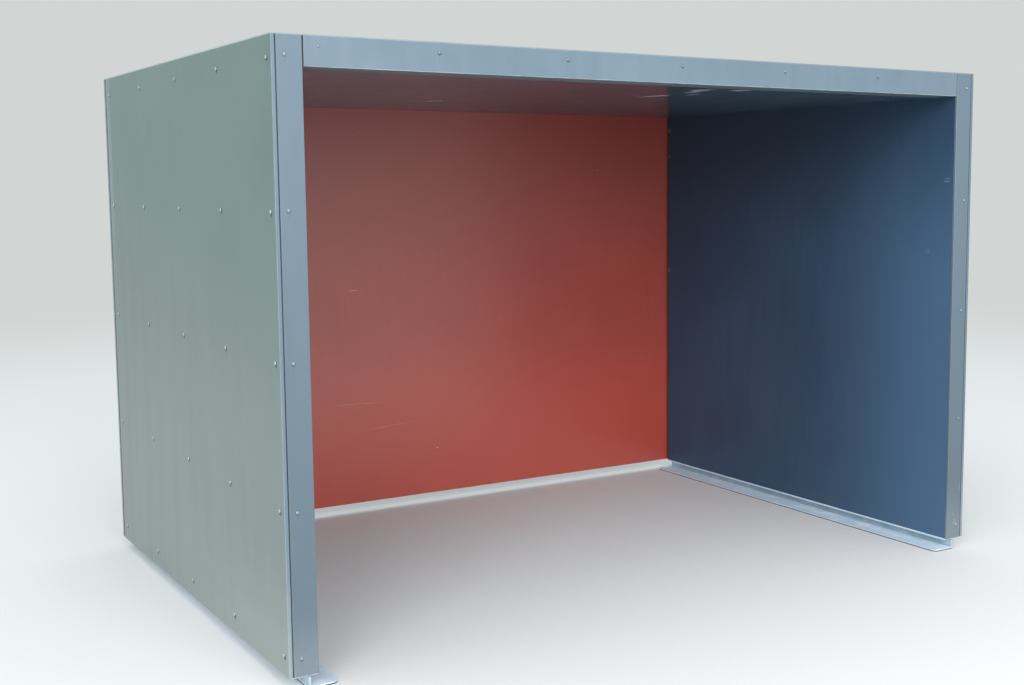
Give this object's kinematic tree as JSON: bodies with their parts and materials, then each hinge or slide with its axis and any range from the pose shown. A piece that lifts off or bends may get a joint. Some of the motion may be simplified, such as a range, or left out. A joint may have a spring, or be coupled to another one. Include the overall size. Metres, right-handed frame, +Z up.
{
  "type": "bike shelter",
  "caption": "Open-fronted box shelter for bicycles: smooth panelled side walls, flat roof and single-sheet rear wall on steel base angles.",
  "frame": {"origin": "centre of the footprint of the whole shelter, on the ground", "axes": "+X to the right seen from the front, +Y towards the back, +Z up; the open front faces -Y"},
  "size_m": [3, 2.03, 2],
  "materials": {
    "grey_panel": "satin, faint vertical streaks, light dust",
    "grey_fascia": "satin, smooth",
    "blue_panel": "satin, smooth, light scuffs",
    "red_panel": "satin, smooth; red inside, grey outside",
    "ceiling_panel": "glossy, fine scratches",
    "galvanised_steel": "dull zinc, faint spangle",
    "edge_metal": "dull, weathered",
    "timber": "sawn softwood",
    "deck_board": "plywood",
    "roof_membrane": "matte, dusty"
  },
  "bodies": {
    "root": {"left_base_angle": "galvanised_steel", "left_bearing_plate": "galvanised_steel", "left_sill_rail": "timber", "left_head_rail": "timber", "left_stud_1": "timber", "left_stud_2": "timber", "left_stud_3": "timber", "left_stud_4": "timber", "left_stud_5": "timber", "left_outer_panel": "grey_panel", "left_lining": "blue_panel", "left_fascia": "grey_fascia", "right_base_angle": "galvanised_steel", "right_bearing_plate": "galvanised_steel", "right_sill_rail": "timber", "right_head_rail": "timber", "right_stud_1": "timber", "right_stud_2": "timber", "right_stud_3": "timber", "right_stud_4": "timber", "right_stud_5": "timber", "right_outer_panel": "grey_panel", "right_lining": "blue_panel", "right_fascia": "grey_fascia", "top_fascia": "grey_fascia", "rear_panel": "red_panel", "ceiling_panel": "ceiling_panel", "front_soffit": "grey_fascia", "roof_front_rail": "timber", "roof_rear_rail": "timber", "roof_joist_1": "timber", "roof_joist_2": "timber", "roof_joist_3": "timber", "roof_joist_4": "timber", "roof_joist_5": "timber", "roof_joist_6": "timber", "roof_joist_7": "timber", "roof_deck": "deck_board", "roof_covering": "roof_membrane", "front_edge_trim": "edge_metal", "rear_edge_trim": "edge_metal", "left_edge_trim": "edge_metal", "right_edge_trim": "edge_metal"}
  },
  "joints": []
}
